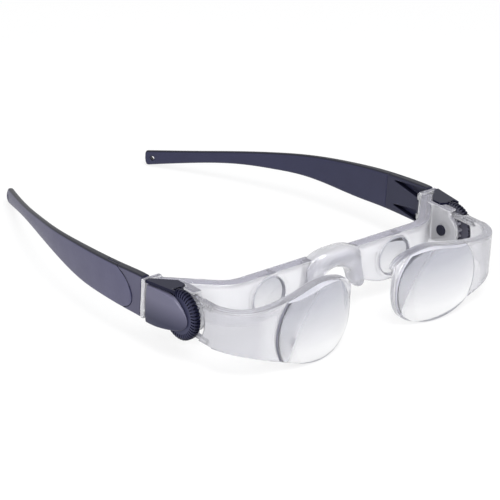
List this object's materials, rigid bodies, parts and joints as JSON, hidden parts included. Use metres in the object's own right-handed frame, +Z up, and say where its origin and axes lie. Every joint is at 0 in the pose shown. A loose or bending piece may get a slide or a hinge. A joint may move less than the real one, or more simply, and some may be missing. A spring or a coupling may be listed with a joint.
{
  "type": "binocular glasses",
  "caption": "Spectacle-worn magnifier: a clear rear frame with two eyepieces, clear sliding objective carriers, knurled side focus wheels and folding temples.",
  "frame": {"origin": "on the table, under the middle of the whole: the glasses stand on the lower edges of the carriers and the tips of the temples", "axes": "+Z up, -Y the way the wearer looks, +X the wearer's left"},
  "size_m": [0.1502, 0.1846, 0.0308],
  "materials": {
    "clear_frame": "clear moulded polycarbonate",
    "clear_shell": "clear moulded polycarbonate",
    "soft_saddle": "clear satin silicone",
    "lens": "polished clear",
    "temple_plastic": "satin dark blue-grey",
    "dark_shell": "satin dark blue-grey",
    "wheel_plastic": "satin near-black",
    "drive_plastic": "grey acetal",
    "washer": "black",
    "steel": "turned"
  },
  "bodies": {
    "frame": {"rear_frame": "clear_frame", "nose_saddle": "soft_saddle", "eyepiece_lens_left": "lens", "eyepiece_lens_right": "lens", "friction_washer_left": "washer", "friction_washer_right": "washer", "wheel_cover_left": "dark_shell", "wheel_cover_right": "dark_shell", "side_housing_left": "dark_shell", "side_housing_right": "dark_shell", "hinge_pin_left": "steel", "hinge_pin_right": "steel"},
    "carrier_left": {"objective_carrier_left": "clear_shell", "objective_lens_left": "lens", "focus_rack_left": "clear_shell", "rack_screws_left": "steel"},
    "wheel_left": {"focus_wheel_left": "wheel_plastic", "pinion_left": "drive_plastic", "wheel_axle_left": "wheel_plastic"},
    "temple_left": {"hinge_insert_left": "temple_plastic", "temple_arm_left": "temple_plastic"},
    "carrier_right": {"objective_carrier_right": "clear_shell", "objective_lens_right": "lens", "focus_rack_right": "clear_shell", "rack_screws_right": "steel"},
    "wheel_right": {"focus_wheel_right": "wheel_plastic", "pinion_right": "drive_plastic", "wheel_axle_right": "wheel_plastic"},
    "temple_right": {"hinge_insert_right": "temple_plastic", "temple_arm_right": "temple_plastic"}
  },
  "joints": [
    {"name": "carrier_slide_left", "type": "slide", "parent": "frame", "child": "carrier_left", "axis": [0, -1, 0], "range_m": [-0.001, 0.004]},
    {"name": "wheel_spin_left", "type": "hinge", "parent": "frame", "child": "wheel_left", "pos_m": [0.07, -0.05772, 0.01786], "axis": [1, 0, 0], "range_deg": [-11.1, 44.2]},
    {"name": "temple_fold_left", "type": "hinge", "parent": "frame", "child": "temple_left", "pos_m": [0.0703, -0.03862, 0.01917], "axis": [0, 0, 1], "range_deg": [0, 80]},
    {"name": "carrier_slide_right", "type": "slide", "parent": "frame", "child": "carrier_right", "axis": [0, -1, 0], "range_m": [-0.001, 0.004]},
    {"name": "wheel_spin_right", "type": "hinge", "parent": "frame", "child": "wheel_right", "pos_m": [-0.07, -0.05772, 0.01786], "axis": [1, 0, 0], "range_deg": [-11.1, 44.2]},
    {"name": "temple_fold_right", "type": "hinge", "parent": "frame", "child": "temple_right", "pos_m": [-0.0703, -0.03862, 0.01917], "axis": [0, 0, -1], "range_deg": [0, 70]}
  ],
  "couplings": [
    {"joint": "wheel_spin_left", "follows": "carrier_slide_left", "rad_per_m": 192.31},
    {"joint": "wheel_spin_right", "follows": "carrier_slide_right", "rad_per_m": 192.31}
  ]
}
